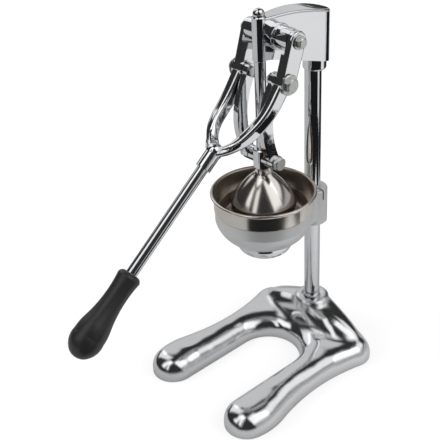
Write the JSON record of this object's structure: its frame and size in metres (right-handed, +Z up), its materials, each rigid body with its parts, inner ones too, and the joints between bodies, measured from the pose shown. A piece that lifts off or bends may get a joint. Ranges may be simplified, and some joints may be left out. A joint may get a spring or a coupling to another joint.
{
  "type": "citrus juice press",
  "caption": "Lever citrus juice press: horseshoe base, post, forked lever with links that push a steel dome down into a strainer bowl over a funnel.",
  "frame": {"origin": "on the floor, on the plunger's axis, where the glass stands under the spout", "axes": "+Z up along the plunger, +X across along the lever's pivots, the handle and the open side of the base point to -Y and the post stands at +Y"},
  "size_m": [0.1848, 0.3748, 0.4387],
  "materials": {
    "chromed_casting": "bright chrome over a cast surface",
    "polished_steel": "polished",
    "spun_stainless": "fine turned, bright",
    "cast_aluminium": "matte, fine blasted",
    "grip_plastic": "satin black",
    "plated_bolts": "zinc plated",
    "dark_screws": "black oxide",
    "foot_rubber": "matte"
  },
  "bodies": {
    "stand": {"base": "chromed_casting", "foot_pads": "foot_rubber", "post": "polished_steel", "post_washer": "plated_bolts", "post_nut": "plated_bolts", "head": "chromed_casting", "head_set_screws": "dark_screws", "guide_sleeve": "polished_steel", "pivot_bolts": "plated_bolts", "pivot_washers": "plated_bolts", "bowl_holder": "cast_aluminium", "holder_set_screw": "dark_screws", "funnel": "cast_aluminium"},
    "bowl": {"strainer_bowl": "spun_stainless", "reamer_cone": "spun_stainless"},
    "lever": {"lever_yoke": "chromed_casting", "handle_rod": "polished_steel", "grip": "grip_plastic", "link_bolts": "plated_bolts", "link_washers": "plated_bolts", "link_nuts": "plated_bolts"},
    "links": {"right_link": "chromed_casting", "left_link": "chromed_casting", "lower_bolts": "plated_bolts", "lower_washers": "plated_bolts"},
    "plunger": {"plunger_rod": "polished_steel", "crosshead": "chromed_casting", "crosshead_screw": "dark_screws", "press_cone": "spun_stainless", "cone_nut": "plated_bolts"}
  },
  "joints": [
    {"name": "lever_swing", "type": "hinge", "parent": "stand", "child": "lever", "pos_m": [0, 0.0187, 0.4073], "axis": [-1, 0, 0], "range_deg": [0, 95]},
    {"name": "link_swing", "type": "hinge", "parent": "lever", "child": "links", "pos_m": [0, 0.0033, 0.368], "axis": [1, 0, 0], "range_deg": [0, 109.2]},
    {"name": "plunger_rise", "type": "slide", "parent": "stand", "child": "plunger", "axis": [0, 0, 1], "range_m": [0, 0.0601]},
    {"name": "bowl_turn", "type": "hinge", "parent": "stand", "child": "bowl", "pos_m": [0, 0, 0.216], "axis": [0, 0, 1], "continuous": true}
  ],
  "couplings": [
    {"joint": "link_swing", "follows": "lever_swing", "ratio": 1.1485},
    {"joint": "plunger_rise", "follows": "lever_swing", "m_per_rad": 0.036201}
  ]
}
